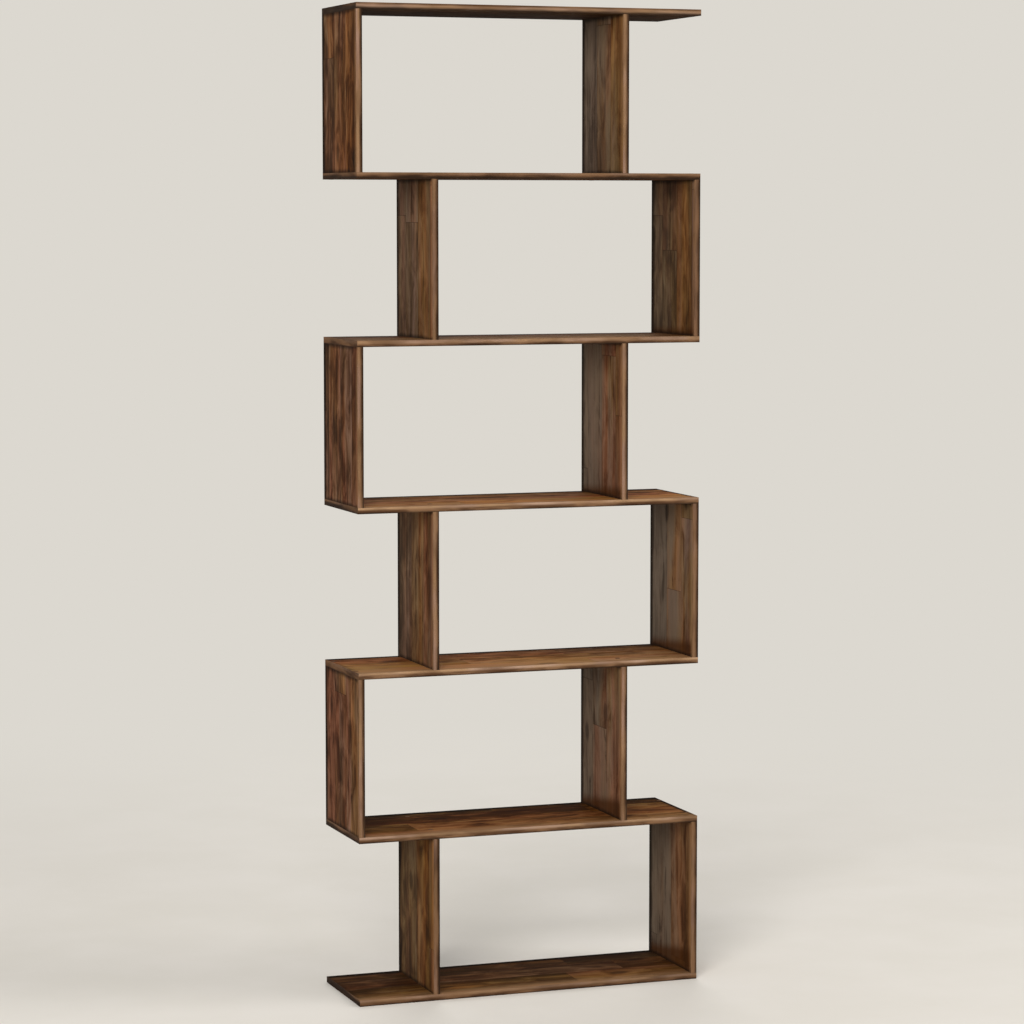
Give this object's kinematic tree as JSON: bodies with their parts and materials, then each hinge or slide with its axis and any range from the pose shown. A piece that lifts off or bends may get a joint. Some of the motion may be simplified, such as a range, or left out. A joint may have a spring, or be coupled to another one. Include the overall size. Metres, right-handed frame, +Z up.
{
  "type": "zigzag bookshelf",
  "caption": "Tall open bookshelf of wood-grain boards: full-width shelves on pairs of uprights that step left and right from tier to tier in a zigzag.",
  "frame": {"origin": "on the floor, under the middle of the base board", "axes": "+X along the shelves to the viewer's right, +Y from the front to the back, +Z up"},
  "size_m": [0.7, 0.22, 1.921],
  "materials": {
    "board_decor": "rustic brown wood grain, satin",
    "edge_band": "tan wood-grain edging, satin",
    "dowel_beech": "raw beech",
    "screw_steel": "zinc plated",
    "cap_plastic": "brown, matt",
    "bracket_steel": "zinc plated"
  },
  "bodies": {
    "root": {"base_board": "board_decor", "shelf_1": "board_decor", "shelf_2": "board_decor", "shelf_3": "board_decor", "shelf_4": "board_decor", "shelf_5": "board_decor", "top_board": "board_decor", "tier_1_left_upright": "board_decor", "tier_1_right_upright": "board_decor", "tier_2_left_upright": "board_decor", "tier_2_right_upright": "board_decor", "tier_3_left_upright": "board_decor", "tier_3_right_upright": "board_decor", "tier_4_left_upright": "board_decor", "tier_4_right_upright": "board_decor", "tier_5_left_upright": "board_decor", "tier_5_right_upright": "board_decor", "tier_6_left_upright": "board_decor", "tier_6_right_upright": "board_decor", "base_board_edge_bands": "edge_band", "shelf_1_edge_bands": "edge_band", "shelf_2_edge_bands": "edge_band", "shelf_3_edge_bands": "edge_band", "shelf_4_edge_bands": "edge_band", "shelf_5_edge_bands": "edge_band", "top_board_edge_bands": "edge_band", "tier_1_edge_bands": "edge_band", "tier_2_edge_bands": "edge_band", "tier_3_edge_bands": "edge_band", "tier_4_edge_bands": "edge_band", "tier_5_edge_bands": "edge_band", "tier_6_edge_bands": "edge_band", "base_board_dowels": "dowel_beech", "shelf_1_dowels": "dowel_beech", "shelf_2_dowels": "dowel_beech", "shelf_3_dowels": "dowel_beech", "shelf_4_dowels": "dowel_beech", "shelf_5_dowels": "dowel_beech", "top_board_dowels": "dowel_beech", "base_board_screws": "screw_steel", "shelf_1_screws": "screw_steel", "shelf_2_screws": "screw_steel", "shelf_3_screws": "screw_steel", "shelf_4_screws": "screw_steel", "shelf_5_screws": "screw_steel", "top_board_screws": "screw_steel", "shelf_1_screw_caps": "cap_plastic", "shelf_2_screw_caps": "cap_plastic", "shelf_3_screw_caps": "cap_plastic", "shelf_4_screw_caps": "cap_plastic", "shelf_5_screw_caps": "cap_plastic", "top_board_screw_caps": "cap_plastic", "wall_bracket_left": "bracket_steel", "wall_bracket_right": "bracket_steel", "wall_bracket_screws": "screw_steel"}
  },
  "joints": []
}
